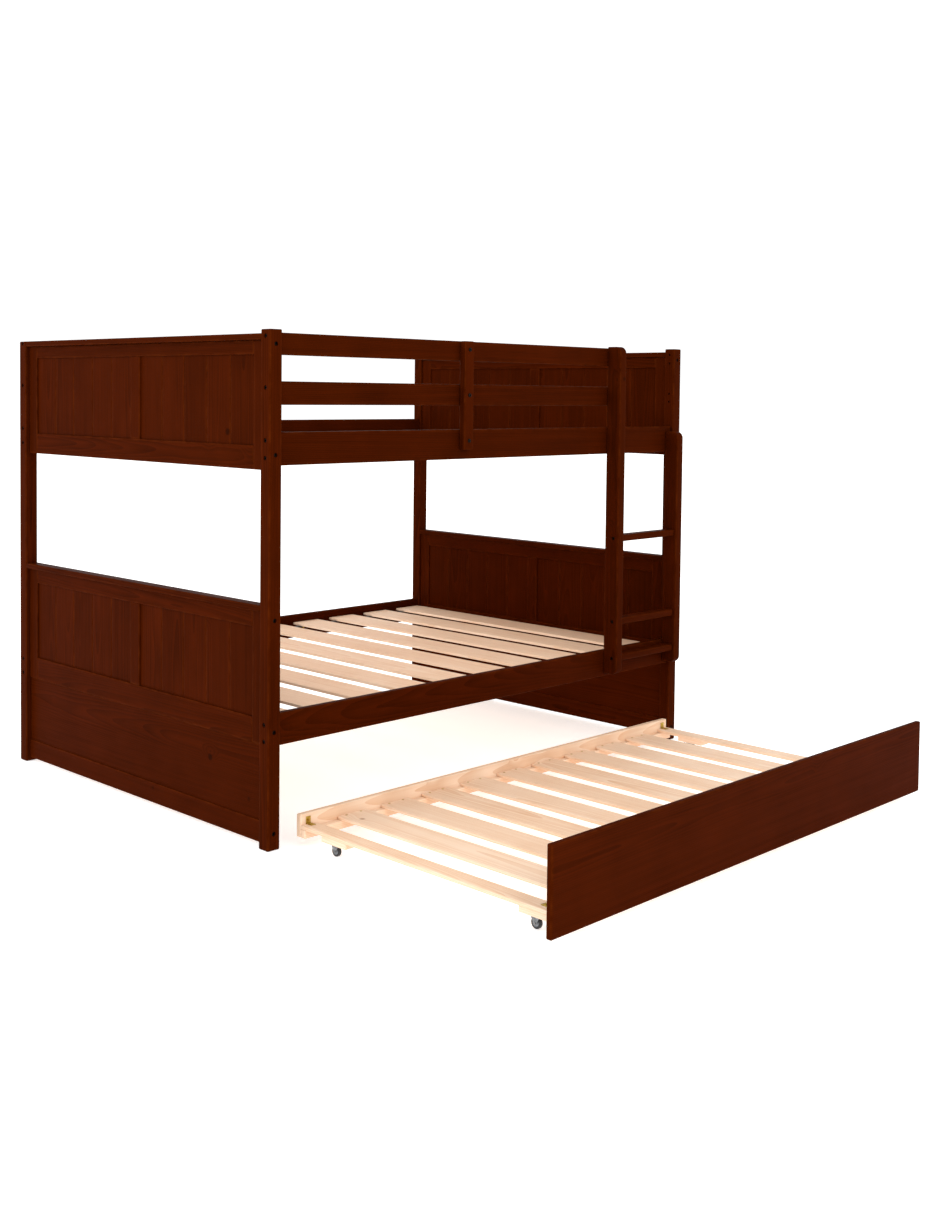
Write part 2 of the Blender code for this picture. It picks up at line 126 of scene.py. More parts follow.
# %% Shader helper
def add(tree, kind, inputs=None, stops=None, **settings):
    """One shader node: its settings, its ramp stops, and its inputs.

    An input is a value to type in, or another node's output to link to.
    """
    node = tree.nodes.new("ShaderNode" + kind)
    for key, value in settings.items():
        setattr(node, key, value)
    for spot, (position, code) in enumerate(stops or ()):
        elements = node.color_ramp.elements
        element = elements[spot] if spot < 2 else elements.new(position)
        element.position = position
        element.color = linear(code)
    for key, value in (inputs or {}).items():
        if isinstance(value, bpy.types.NodeSocket):
            tree.links.new(value, node.inputs[key])
        else:
            node.inputs[key].default_value = value
    return node


def new_material(name):
    """A fresh material with its tree and its Principled shader."""
    material = bpy.data.materials.new(name)
    material.use_nodes = True
    return material, material.node_tree, material.node_tree.nodes["Principled BSDF"]


def repeats(millimetres):
    """How many times a pattern of this size fits in one metre."""
    return 1000.0 / millimetres


# %% [markdown]
# ## Wood that knows which tree it came from
#
# A wood texture painted on each face breaks at the edges, and real boards don't: the stripes on
# the face run over the edge and turn into arcs on the end grain. That is because a board is a
# straight cut through a cone of growth rings. So each board below carries its own place in a
# tree, as three numbers at each vertex: how far along the trunk it is, and how far to the two
# sides of the pith. The material only measures the distance from the pith, and the rings come
# out right on faces, edges and ends together.
#
# Both finishes are the same pine. The bunk is stained dark walnut and lacquered to a satin
# sheen, which hides most of the ring contrast and leaves a red-brown depth. Its rounded edges
# are painted a little lighter, partly as rubbed wear and partly as a painted highlight. The
# trundle's inner parts and the slats are planed and bare.

# %% Wood finishes
RING_MM = 5.0        # growth rings of fast-grown pine lie 3 to 8 mm apart
FIBRE_MM = 1.1       # wood fibres are far finer; this is the finest that still shows
STREAK_MM = 9.0
BLOTCH_MM = 160.0
WAVE_PERIOD = 2 * math.pi / 20      # a Wave texture at scale 1 repeats at this distance


def pine(name, ring_stops, streak_mix, knot_colour, knot_strength, wear_and_highlight_colour, wear_and_highlight_strength):
    """Pine with rings about the pith, fibres, blotches, knots, and edges painted lighter as rubbed wear
    and as a painted highlight.
    """
    material, tree, shader = new_material(name)
    grain = add(tree, "Attribute", attribute_name="grain").outputs["Vector"]
    tone = add(tree, "Attribute", attribute_name="tone").outputs["Fac"]
    edge = add(tree, "Attribute", attribute_name="edge").outputs["Fac"]

    knots = add(tree, "TexVoronoi", {"Vector": grain, "Scale": repeats(190), "Randomness": 1.0})
    chance = add(tree, "SeparateColor", {"Color": knots.outputs["Color"]}).outputs["Red"]
    chosen = add(tree, "Math", {0: chance, 1: 0.62}, operation="GREATER_THAN").outputs[0]
    near = add(tree, "MapRange", {"Value": knots.outputs["Distance"], "From Min": 0.035,
                                  "From Max": 0.075, "To Min": 1.0, "To Max": 0.0},
               interpolation_type="SMOOTHSTEP").outputs["Result"]
    around = add(tree, "MapRange", {"Value": knots.outputs["Distance"], "From Min": 0.0,
                                    "From Max": 0.30, "To Min": 1.0, "To Max": 0.0},
                 interpolation_type="SMOOTHSTEP").outputs["Result"]
    knot = add(tree, "Math", {0: near, 1: chosen}, operation="MULTIPLY").outputs[0]
    swell = add(tree, "Math", {0: around, 1: chosen}, operation="MULTIPLY").outputs[0]

    slow = add(tree, "Mapping", {"Vector": grain, "Scale": (1.3, 7.0, 7.0)}).outputs["Vector"]
    wander = add(tree, "TexNoise", {"Vector": slow, "Scale": 1.0, "Detail": 2.0}).outputs["Fac"]
    shift = add(tree, "Math", {0: wander, 1: 0.030, 2: -0.015}, operation="MULTIPLY_ADD").outputs[0]
    bulge = add(tree, "Math", {0: swell, 1: 0.016, 2: shift}, operation="MULTIPLY_ADD").outputs[0]
    part = add(tree, "SeparateXYZ", {"Vector": grain})
    across = add(tree, "Math", {0: part.outputs["Y"], 1: bulge}, operation="ADD").outputs[0]
    radial = add(tree, "CombineXYZ", {"X": 0.0, "Y": across, "Z": part.outputs["Z"]})
    rings = add(tree, "TexWave", {"Vector": radial.outputs["Vector"],
                                  "Scale": WAVE_PERIOD * repeats(RING_MM), "Distortion": 0.0},
                wave_type="RINGS", rings_direction="X", wave_profile="SAW").outputs["Fac"]

    long_fibre = add(tree, "Mapping", {"Vector": grain, "Scale": (
        repeats(60), repeats(FIBRE_MM), repeats(FIBRE_MM))}).outputs["Vector"]
    fibre = add(tree, "TexNoise", {"Vector": long_fibre, "Scale": 1.0, "Detail": 3.0}).outputs["Fac"]
    long_streak = add(tree, "Mapping", {"Vector": grain, "Scale": (
        repeats(420), repeats(STREAK_MM), repeats(STREAK_MM))}).outputs["Vector"]
    streak = add(tree, "TexNoise", {"Vector": long_streak, "Scale": 1.0, "Detail": 3.0}).outputs["Fac"]
    blotch = add(tree, "TexNoise", {"Vector": grain, "Scale": repeats(BLOTCH_MM), "Detail": 2.0})

    figure = add(tree, "Mix", {"Factor": streak_mix, "A": rings, "B": streak}).outputs["Result"]
    fine = add(tree, "Math", {0: fibre, 1: 0.22, 2: figure}, operation="MULTIPLY_ADD").outputs[0]
    drift = add(tree, "Math", {0: blotch.outputs["Fac"], 1: 0.5, 2: fine},
                operation="MULTIPLY_ADD").outputs[0]
    board = add(tree, "Math", {0: tone, 1: 0.16, 2: drift}, operation="MULTIPLY_ADD").outputs[0]
    level = add(tree, "MapRange", {"Value": board, "From Min": 0.15, "From Max": 1.45}).outputs["Result"]
    stain = add(tree, "ValToRGB", {"Fac": level}, stops=ring_stops).outputs["Color"]

    knot_amount = add(tree, "Math", {0: knot, 1: knot_strength}, operation="MULTIPLY").outputs[0]
    knotted = add(tree, "MixRGB", {"Fac": knot_amount, "Color1": stain,
                                   "Color2": linear(knot_colour)}).outputs["Color"]
    # Edges painted lighter in patches: partly rubbed wear, partly a painted highlight where the rounded
    # edges catch the light.
    wear_and_highlight_noise = add(tree, "TexNoise", {"Vector": grain, "Scale": repeats(35), "Detail": 3.0}).outputs["Fac"]
    patchy = add(tree, "MapRange", {"Value": wear_and_highlight_noise, "From Min": 0.35, "From Max": 0.70}).outputs["Result"]
    worn_and_lit_edge = add(tree, "Math", {0: edge, 1: patchy}, operation="MULTIPLY").outputs[0]
    wear_and_highlight_amount = add(tree, "Math", {0: worn_and_lit_edge, 1: wear_and_highlight_strength}, operation="MULTIPLY").outputs[0]
    colour = add(tree, "MixRGB", {"Fac": wear_and_highlight_amount, "Color1": knotted,
                                  "Color2": linear(wear_and_highlight_colour)}).outputs["Color"]
    tree.links.new(colour, shader.inputs["Base Color"])

    relief = add(tree, "Math", {0: rings, 1: 0.35, 2: fibre}, operation="MULTIPLY_ADD").outputs[0]
    return material, tree, shader, streak, relief


def walnut_stained_pine():
    """Walnut stain under satin lacquer: dark red-brown, lacquer levels most of the fibre.

    The stain soaks the soft early wood darkest, so the rings are faint, and the lacquer's sheen
    is broken only by streaks. Its reflection is kept very low and warm, because the white
    studio all round would otherwise wash the stain out to pink.
    """
    material, tree, shader, streak, relief = pine(
        "walnut stained pine, satin lacquer",
        ((0.0, "#571E02"), (1.0, "#280901"), (0.35, "#431402"), (0.7, "#360F01")),
        # 74330E is the edge colour: rubbed wear and a painted highlight on the rounded edges.
        0.62, "#1E0802", 0.75, "#74330E", 0.25)
    gloss = add(tree, "MapRange", {"Value": streak, "From Min": 0.3, "From Max": 0.7,
                                   "To Min": 0.34, "To Max": 0.46}).outputs["Result"]
    tree.links.new(gloss, shader.inputs["Roughness"])
    bump = add(tree, "Bump", {"Strength": 0.10, "Distance": 0.0004, "Height": relief})
    tree.links.new(bump.outputs["Normal"], shader.inputs["Normal"])
    shader.inputs["Specular IOR Level"].default_value = 0.004
    shader.inputs["Specular Tint"].default_value = linear("#B5683A")
    return material


def natural_pine():
    """Planed bare pine: pale early wood, honey late-wood lines, a knot here and there."""
    material, tree, shader, streak, relief = pine(
        "natural pine, planed",
        ((0.0, "#F6DEC8"), (1.0, "#D9A983"), (0.45, "#F0D3B8"), (0.8, "#E5BE9C")),
        # FBEBD8 paints the rounded edges paler: rubbed wear and a painted highlight.
        0.55, "#96603C", 0.70, "#FBEBD8", 0.25)
    rough = add(tree, "MapRange", {"Value": streak, "From Min": 0.3, "From Max": 0.7,
                                   "To Min": 0.52, "To Max": 0.66}).outputs["Result"]
    tree.links.new(rough, shader.inputs["Roughness"])
    bump = add(tree, "Bump", {"Strength": 0.22, "Distance": 0.0005, "Height": relief})
    tree.links.new(bump.outputs["Normal"], shader.inputs["Normal"])
    shader.inputs["Specular IOR Level"].default_value = 0.3
    return material


WALNUT = walnut_stained_pine()
PINE = natural_pine()

# %% [markdown]
# ## Metal, rubber and webbing
#
# The hardware is cheap and tough: zinc on the casters, its colour darkened as painted shade
# for the shadow under the tray, yellow passivated zinc on the screws and brackets, and black
# oxide on the bed bolts. None of it is a mirror, so each gets a cloudy roughness. A metal's
# colour is its reflection, so it stays a metal with the default index.

# %% Hardware finishes
def clouded(name, dark, light, metallic, rough_low, rough_high, cloud_mm, bump_strength):
    """A plain finish whose colour and gloss drift in soft clouds of one size."""
    material, tree, shader = new_material(name)
    place = add(tree, "TexCoord").outputs["Object"]
    cloud = add(tree, "TexNoise", {"Vector": place, "Scale": repeats(cloud_mm), "Detail": 4.0})
    colour = add(tree, "ValToRGB", {"Fac": cloud.outputs["Fac"]},
                 stops=((0.3, dark), (0.7, light))).outputs["Color"]
    rough = add(tree, "MapRange", {"Value": cloud.outputs["Fac"], "From Min": 0.3, "From Max": 0.7,
                                   "To Min": rough_low, "To Max": rough_high}).outputs["Result"]
    grit = add(tree, "TexNoise", {"Vector": place, "Scale": repeats(0.8), "Detail": 2.0})
    bump = add(tree, "Bump", {"Strength": bump_strength, "Distance": 0.0003,
                              "Height": grit.outputs["Fac"]})
    tree.links.new(colour, shader.inputs["Base Color"])
    tree.links.new(rough, shader.inputs["Roughness"])
    tree.links.new(bump.outputs["Normal"], shader.inputs["Normal"])
    shader.inputs["Metallic"].default_value = metallic
    return material


BLACK_OXIDE = clouded("black oxide steel", "#0E0A09", "#1F1713", 1.0, 0.36, 0.52, 6.0, 0.10)
# The caster zinc is painted far darker than bright zinc: painted shade for the shadow under the tray.
SHADE_DARKENED_ZINC = clouded("zinc plate darkened as painted shade", "#5F6265", "#8C8F92", 1.0, 0.26, 0.42, 9.0, 0.08)
YELLOW_ZINC = clouded("yellow passivated zinc", "#9C7B2C", "#CDB25A", 1.0, 0.28, 0.42, 7.0, 0.08)
TREAD_RUBBER = clouded("moulded tread rubber", "#141416", "#232326", 0.0, 0.48, 0.62, 5.0, 0.18)
GREY_NYLON = clouded("grey nylon hub", "#7E8288", "#9A9EA4", 0.0, 0.34, 0.44, 8.0, 0.06)


def polyester_webbing():
    """Black upholstery webbing: a ribbed weave whose threads lie along and across."""
    material, tree, shader = new_material("polyester webbing, woven")
    place = add(tree, "TexCoord").outputs["Object"]
    rib = add(tree, "TexWave", {"Vector": place, "Scale": WAVE_PERIOD * repeats(2.4)},
              wave_type="BANDS", bands_direction="X").outputs["Fac"]
    thread = add(tree, "TexWave", {"Vector": place, "Scale": WAVE_PERIOD * repeats(1.8)},
                 wave_type="BANDS", bands_direction="Y").outputs["Fac"]
    weave = add(tree, "Math", {0: rib, 1: thread}, operation="MULTIPLY").outputs[0]
    colour = add(tree, "ValToRGB", {"Fac": weave},
                 stops=((0.0, "#171514"), (1.0, "#383431"))).outputs["Color"]
    bump = add(tree, "Bump", {"Strength": 0.5, "Distance": 0.0006, "Height": weave})
    tree.links.new(colour, shader.inputs["Base Color"])
    tree.links.new(bump.outputs["Normal"], shader.inputs["Normal"])
    shader.inputs["Roughness"].default_value = 0.85
    shader.inputs["Sheen Weight"].default_value = 0.2
    return material


WEBBING = polyester_webbing()

# %% [markdown]
# ## Cutting a board
#
# A beveled cube would do for one board, but then each needs its own modifier and the rounding
# can't differ from corner to corner. Here a board is a rounded outline carried along its length.
# The outline shrinks as it comes to each end, along a quarter circle, which rounds the end the
# same way. One grid of points gives the whole board, and the ladder's legs, with two large
# corners and two small ones, come from the same function.

# %% Board geometry
AXES = {"x": (1, 2, 0), "y": (2, 0, 1), "z": (0, 1, 2)}
ARC_STEPS = 4
FLAT = 0.006         # a row of vertices this far in from each rounded edge keeps the faces flat
SHARPEST = 0.0002


def rounded_outline(half, radii, inset):
    """A rectangle with four corner radii, drawn anticlockwise and shrunk by an inset.

    Corner k sits in quadrant k. Its arc has radius r = max(radii[k] - inset, smallest), and its
    centre lies at the shrunk corner moved in by r both ways. A flat point before and after each
    arc, along the side's direction, frames the flat faces.
    """
    signs = np.array([(1, 1), (-1, 1), (-1, -1), (1, -1)], float)
    room = np.maximum(half - inset, 2 * SHARPEST)
    rows = []
    for k in range(4):
        radius = max(radii[k] - inset, SHARPEST)
        centre = signs[k] * (room - radius)
        steps = ARC_STEPS * (3 if radii[k] > 0.01 else 1)
        angles = math.pi / 2 * (k + np.linspace(0, 1, steps + 1))
        arc = centre + radius * np.stack([np.cos(angles), np.sin(angles)], axis=1)
        start = np.array([-math.sin(angles[0]), math.cos(angles[0])])
        stop = np.array([-math.sin(angles[-1]), math.cos(angles[-1])])
        before = min(FLAT, 0.45 * float(abs(start @ (room - radius))))
        after = min(FLAT, 0.45 * float(abs(stop @ (room - radius))))
        rows += [arc[:1] - start * before, arc, arc[-1:] + stop * after]
    return np.concatenate(rows)


def end_rounding(radius, length, thinnest):
    """Stations along a board as (distance, inset): a flat cap, a quarter circle, then straight.

    On the quarter circle the distance is r(1 - sin t) and the inset r(1 - cos t), for t from
    90 degrees down to 0.
    """
    t = np.linspace(math.pi / 2, 0, ARC_STEPS + 1)
    turning = np.stack([radius * (1 - np.sin(t)), radius * (1 - np.cos(t))], axis=1)
    cap = [[0.0, min(radius + FLAT, 0.8 * thinnest)]]
    straight = [[min(radius + FLAT, 0.45 * length), 0.0]]
    near = np.concatenate([cap, turning, straight])
    far = near[::-1] * [-1, 1] + [length, 0]
    return np.concatenate([near, far])


def wood_marks(points, low, high, along, seed):
    """Where each point lies in the tree, how near an edge it is, and the board's tone.

    The pith runs beside the board at a random distance and slant. Nearness to an edge is
    1 - d / FLAT, where d is the second smallest distance to a face.
    """
    chance = np.random.default_rng(seed)
    middle = (low + high) / 2
    main = "xyz".index(along)
    sides = [i for i in range(3) if i != main]
    offset = points - middle
    distance = chance.uniform(0.035, 0.130)
    bearing = chance.uniform(0, 2 * math.pi)
    slant = chance.normal(0, 0.014, 2)
    run = offset[:, main]
    grain = np.stack([run + chance.uniform(2, 60),
                      offset[:, sides[0]] + distance * math.cos(bearing) + slant[0] * run,
                      offset[:, sides[1]] + distance * math.sin(bearing) + slant[1] * run], axis=1)
    depth = np.sort((high - low) / 2 - np.abs(offset), axis=1)
    edge = np.clip(1 - depth[:, 1] / FLAT, 0, 1)
    return grain, edge, np.full(len(points), chance.uniform(0, 1))


cuts = 0


def board(low, high, axis, radius=0.003, corners=None, along=None):
    """One board between two corners, its outline carried along an axis.

    Gives its points, its faces and its wood marks.
    """
    global cuts
    cuts += 1
    low = np.array(low, float)
    high = np.array(high, float)
    a, b, c = AXES[axis]
    half = (high - low)[[a, b]] / 2
    middle = (high + low)[[a, b]] / 2
    radius = min(radius, 0.9 * float(half.min()))
    stations = end_rounding(radius, high[c] - low[c], float(half.min()))
    outlines = np.stack([rounded_outline(half, corners or [radius] * 4, inset)
                         for _, inset in stations])
    rows, columns = outlines.shape[:2]
    points = np.empty((rows, columns, 3))
    points[..., [a, b]] = outlines + middle
    points[..., c] = (low[c] + stations[:, 0])[:, None]
    points = points.reshape(-1, 3)
    faces = tube_faces(rows, columns)
    marks = wood_marks(points, low, high, along or axis, cuts)
    return points, faces, marks


def tube_faces(rows, columns):
    """Quads between the rings of a tube, and one face over each end."""
    index = np.arange(rows * columns).reshape(rows, columns)
    here, up = index[:-1], index[1:]
    quads = np.stack([here, np.roll(here, -1, 1), np.roll(up, -1, 1), up], axis=-1).reshape(-1, 4)
    return quads.tolist() + [index[0, ::-1].tolist(), index[-1].tolist()]


# %% [markdown]
# ## From boards to pieces
#
# Joinery is glued up: a frame is two rails and three stiles, a panel is ten planks. Boards that
# are one solid in the real bed are gathered into one mesh, each keeping its own grain. A piece
# then stands for its engineering solid, which stays behind to carry collision.

# %% Assemble pieces
def make_mesh(name, shells, material):
    """One mesh from several shells of (points, faces, marks), with the wood marks as attributes."""
    starts = np.cumsum([0] + [len(points) for points, _, _ in shells])
    points = np.concatenate([shell[0] for shell in shells])
    faces = [[int(start) + v for v in face]
             for start, shell in zip(starts, shells) for face in shell[1]]
    mesh = bpy.data.meshes.new(name)
    mesh.from_pydata(points.tolist(), [], faces)
    mesh.materials.append(material)
    if shells[0][2] is not None:
        write_marks(mesh, *[np.concatenate(part) for part in zip(*[shell[2] for shell in shells])])
    mesh.shade_smooth()
    mesh.set_sharp_from_angle(angle=math.radians(38))
    return mesh


def write_marks(mesh, grain, edge, tone):
    mesh.attributes.new("grain", "FLOAT_VECTOR", "POINT").data.foreach_set("vector", grain.ravel())
    mesh.attributes.new("edge", "FLOAT", "POINT").data.foreach_set("value", edge)
    mesh.attributes.new("tone", "FLOAT", "POINT").data.foreach_set("value", tone)


def place_piece(name, mesh, body, node=None):
    """Put a mesh in the scene, on its body, standing for its node if it has one."""
    piece = bpy.data.objects.new(name, mesh)
    bpy.context.scene.collection.objects.link(piece)
    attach(piece, body)
    if node:
        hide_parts(node)
    return piece


def wooden(node, body, shells, material):
    """A wooden piece that stands for a node of the same name."""
    return place_piece(node + "_wood", make_mesh(node + "_wood", shells, material), body, node)


def plain_board(node, body, axis, material, radius=0.003):
    """A piece that is one board and fills its node's box."""
    low, high = corners_of(node)
    return wooden(node, body, [board(low, high, axis, radius)], material)


# %% [markdown]
# ## Bolts and screws
#
# The bed is bolted through its posts with socket-head bolts sunk in counterbores. A head could
# be a cylinder with a hexagon cut out of it, but a cut makes messy faces. It is cleaner as one
# surface of two parameters: go round the axis by an angle, and along a profile that climbs the
# rim, crosses the top and drops into the socket. Only the socket's rings swap their circle for
# a hexagon.

# %% Fastener heads
def turn_to(normal):
    """The rotation that takes +Z to a direction, as a 3 x 3 array."""
    return np.array(Vector((0, 0, 1)).rotation_difference(Vector(normal)).to_matrix())


def socket_head(place, normal, radius, height, socket):
    """A round head with a hexagon socket, its seat at a place and its axis along a normal.

    A ring of radius r and height z has the points (r cos a, r sin a, z). In the socket, r is
    s / cos(a mod 60 - 30), the edge of a hexagon with half-width s.
    """
    angles = np.linspace(0, 2 * math.pi, 24, endpoint=False)
    circle = np.ones_like(angles)
    hexagon = 1 / np.cos(np.mod(angles, math.pi / 3) - math.pi / 6)
    lip = 0.18 * height
    rings = [(radius * circle, 0.0), (radius * circle, height - 2 * lip),
             ((radius - 0.4 * lip) * circle, height - 0.8 * lip),
             ((radius - 1.6 * lip) * circle, height), (1.12 * socket * hexagon, height),
             (socket * hexagon, height - 0.5 * lip), (socket * hexagon, 0.35 * height),
             (0.3 * socket * circle, 0.30 * height)]
    points = np.concatenate([
        np.stack([r * np.cos(angles), r * np.sin(angles), np.full_like(angles, z)], axis=1)
        for r, z in rings])
    points = points @ turn_to(normal).T + np.array(place)
    return points, tube_faces(len(rings), len(angles)), None


def fasteners(name, body, heads, material):
    """Several heads as one piece."""
    return place_piece(name, make_mesh(name, heads, material), body)


# %% [markdown]
# ## The four posts
#
# Each post is one square length of pine with its top edges rounded over. The bolt holes are real
# holes: a counterbore a little wider than the bolt head. They are cut with a Boolean, because a
# hole through a flat face is the one shape a carried outline can't make. The grain is worked out
# again afterwards, from each vertex's place, so the cut faces show it too.

# %% Posts and their bolts
END_BOLTS = (1.522, 1.371, 1.216, 1.164, 0.375, 0.325)
SIDE_BOLTS = (1.499, 1.173, 0.685, 0.353, 0.050)
SPARE_HOLES = (1.519, 1.486, 1.367, 1.336)
BORE_RADIUS = 0.0070
BORE_DEPTH = 0.0070
SPARE_RADIUS = 0.0045
bolt_heads = []


def drill(piece, holes):
    """Cut blind round holes, given as (mouth, inward direction, radius, depth), for good."""
    tool = bmesh.new()
    for mouth, inward, radius, depth in holes:
        spin = Vector((0, 0, 1)).rotation_difference(inward).to_matrix().to_4x4()
        bmesh.ops.create_cone(tool, cap_ends=True, segments=28, radius1=radius, radius2=radius,
                              depth=2 * depth, matrix=Matrix.Translation(mouth) @ spin)
    tool_mesh = bpy.data.meshes.new("drill")
    tool.to_mesh(tool_mesh)
    tool.free()
    drill_bit = bpy.data.objects.new("drill", tool_mesh)
    bpy.context.scene.collection.objects.link(drill_bit)
    cut = piece.modifiers.new("holes", "BOOLEAN")
    cut.solver = "EXACT"
    cut.object = drill_bit
    graph = bpy.context.evaluated_depsgraph_get()
    graph.update()
    drilled = bpy.data.meshes.new_from_object(piece.evaluated_get(graph))
    piece.modifiers.clear()
    piece.data = drilled
    bpy.data.objects.remove(drill_bit, do_unlink=True)


def mark_again(mesh, low, high, along, seed):
    """Work the wood marks out again for a mesh that has been cut."""
    flat = np.empty(len(mesh.vertices) * 3)
    mesh.vertices.foreach_get("co", flat)
    for name in ("grain", "edge", "tone"):
        mesh.attributes.remove(mesh.attributes[name])
    write_marks(mesh, *wood_marks(flat.reshape(-1, 3), low, high, along, seed))
    mesh.shade_smooth()
    mesh.set_sharp_from_angle(angle=math.radians(38))


def post(node):
    """A post, drilled on its end face and its side face, with a bolt in each hole."""
    low, high = corners_of(node)
    side = -1 if "left" in node else 1
    front = -1 if "front" in node else 1
    middle = (low + high) / 2
    piece = wooden(node, "bunk", [board(low, high, "z", 0.004)], WALNUT)
    seed = cuts
    end_x = low[0] if side < 0 else high[0]
    side_y = low[1] if front < 0 else high[1]
    holes = [((end_x, middle[1], z), (-side, 0, 0)) for z in END_BOLTS]
    holes += [((middle[0], side_y, z), (0, -front, 0)) for z in SIDE_BOLTS]
    for mouth, inward in holes:
        seat = Vector(mouth) + BORE_DEPTH * Vector(inward)
        bolt_heads.append(socket_head(seat, -Vector(inward), 0.0060, 0.0048, 0.0028))
    bored = [(Vector(mouth), Vector(inward), BORE_RADIUS, BORE_DEPTH) for mouth, inward in holes]
    if node == "post_front_right":
        bored += [(Vector((low[0], middle[1], z)), Vector((1, 0, 0)), SPARE_RADIUS, BORE_DEPTH)
                  for z in SPARE_HOLES]
    drill(piece, bored)
    mark_again(piece.data, low, high, "z", seed)


for post_name in ("post_front_left", "post_front_right", "post_back_left", "post_back_right"):
    post(post_name)
print("posts done,", len(bolt_heads), "bolts so far")

# %% [markdown]
# ## The panelled ends
#
# Each end is two frame-and-panel modules with a cap rail on top. A frame is three stiles with
# rails between them, their edges just eased so that the joints read as fine lines. Each half of
# the panel is five tongue-and-groove planks. The planks meet at their mid thickness, and their
# rounded edges leave the V between them.

# %% Ends
CENTRE_STILE = 0.054
TONGUE = 0.008
PLANK_ROUND = 0.0024    # the V between two planks is as deep as this
PLANKS = 5
EASED = 0.0018


def end_frame(node, planks_node):
    """Two end stiles and a centre stile, with rails between them."""
    low, high = corners_of(node)
    inner_low, inner_high = corners_of(planks_node)
    y0, y1 = inner_low[1] + TONGUE, inner_high[1] - TONGUE
    z0, z1 = inner_low[2] + TONGUE, inner_high[2] - TONGUE
    middle = (low[1] + high[1]) / 2
    half = CENTRE_STILE / 2
    shells = [
        board((low[0], low[1], low[2]), (high[0], y0, high[2]), "z", EASED),
        board((low[0], y1, low[2]), (high[0], high[1], high[2]), "z", EASED),
        board((low[0], y0, low[2]), (high[0], y1, z0), "y", EASED),
        board((low[0], y0, z1), (high[0], y1, high[2]), "y", EASED),
        board((low[0], middle - half, z0), (high[0], middle + half, z1), "z", EASED),
    ]
    wooden(node, "bunk", shells, WALNUT)
    return y0, y1


def plank_panel(node, y0, y1):
    """Ten planks, five on each side of the centre stile."""
    low, high = corners_of(node)
    middle = (y0 + y1) / 2
    half = CENTRE_STILE / 2
    joints = np.concatenate([np.linspace(y0, middle - half, PLANKS + 1),
                             np.linspace(middle + half, y1, PLANKS + 1)])
    joints[[0, -1]] = low[1], high[1]
    joints[[PLANKS, PLANKS + 1]] = middle, middle
    shells = [board((low[0], a, low[2]), (high[0], b, high[2]), "z", PLANK_ROUND)
              for a, b in zip(joints[:-1], joints[1:]) if b - a > 0.001]
    wooden(node, "bunk", shells, WALNUT)


def kick_board(node, below):
    """The plain board under the lower panel and the thicker rail at its foot."""
    low, high = corners_of(node)
    inset = 0.004
    shells = [board((low[0] + inset, low[1], low[2] + 0.002), (high[0] - inset, high[1], high[2]),
                    "y", 0.001),
              board((low[0], low[1], low[2]), (high[0], high[1], below), "y", EASED)]
    wooden(node, "bunk", shells, WALNUT)


KICK_FOOT_TOP = 0.080
for side_name in ("left", "right"):
    for level in ("upper", "lower"):
        plain_board(f"{level}_cap_{side_name}", "bunk", "y", WALNUT, 0.004)
        sides = end_frame(f"{level}_frame_{side_name}", f"{level}_planks_{side_name}")
        plank_panel(f"{level}_planks_{side_name}", *sides)
    kick_board(f"kick_board_{side_name}", KICK_FOOT_TOP)

# %% [markdown]
# ## Side rails, guard rails and ladder
#
# A side rail is a board on edge with a cleat glued along its inside to carry the slats. The
# ladder's legs stand in front of the rails and are rounded at their front corners, so a knee
# never meets a point. The rungs are plain bars with rounded edges, bolted through the legs.

# %% Rails
RAIL_THICK = 0.024
CLEAT = 0.024
SLAT_THICK = 0.010
CLEAT_END = 0.070
screws = []


def side_rail(node, deck_node, front):
    """A rail and its cleat, with a row of screws through the cleat."""
    low, high = corners_of(node)
    face = low[1] if front < 0 else high[1]
    inner = face - front * RAIL_THICK
    cleat_face = inner - front * CLEAT
    top = corners_of(deck_node)[1][2] - SLAT_THICK - 0.0003
    shells = [board((low[0], min(face, inner), low[2]), (high[0], max(face, inner), high[2]), "x"),
              board((low[0] + CLEAT_END, min(inner, cleat_face), top - CLEAT),
                    (high[0] - CLEAT_END, max(inner, cleat_face), top), "x", 0.002)]
    wooden(node, "bunk", shells, WALNUT)
    for x in np.linspace(low[0] + 0.16, high[0] - 0.16, 7):
        screws.append(socket_head((x, cleat_face, top - CLEAT / 2), (0, -front, 0),
                                  0.0040, 0.0012, 0.0014))


for level in ("upper", "lower"):
    side_rail(f"{level}_rail_front", f"{level}_slat_deck", -1)
    side_rail(f"{level}_rail_back", f"{level}_slat_deck", 1)

plain_board("guard_top_rail", "bunk", "x", WALNUT, 0.005)
plain_board("guard_middle_rail", "bunk", "x", WALNUT, 0.005)
plain_board("guard_stile", "bunk", "z", WALNUT, 0.005)
stile_low, stile_high = corners_of("guard_stile")
for z in (1.505, 1.354, 1.203):
    bolt_heads.append(socket_head(((stile_low[0] + stile_high[0]) / 2, stile_low[1] - 0.0002, z),
                                  (0, -1, 0), 0.0065, 0.0026, 0.0026))

# %% Ladder
LEG_ROUND = 0.025
RUNG_HEIGHTS = (0.380, 0.517, 0.828)


def ladder_leg(node):
    """A leg carried across its width, its side view an outline with two large front corners.

    Along X the outline's first axis is Y, so quadrants 2 and 3 are the front top and bottom.
    """
    low, high = corners_of(node)
    corners = [0.004, LEG_ROUND, LEG_ROUND, 0.004]
    return wooden(node, "bunk", [board(low, high, "x", 0.004, corners, "z")], WALNUT)


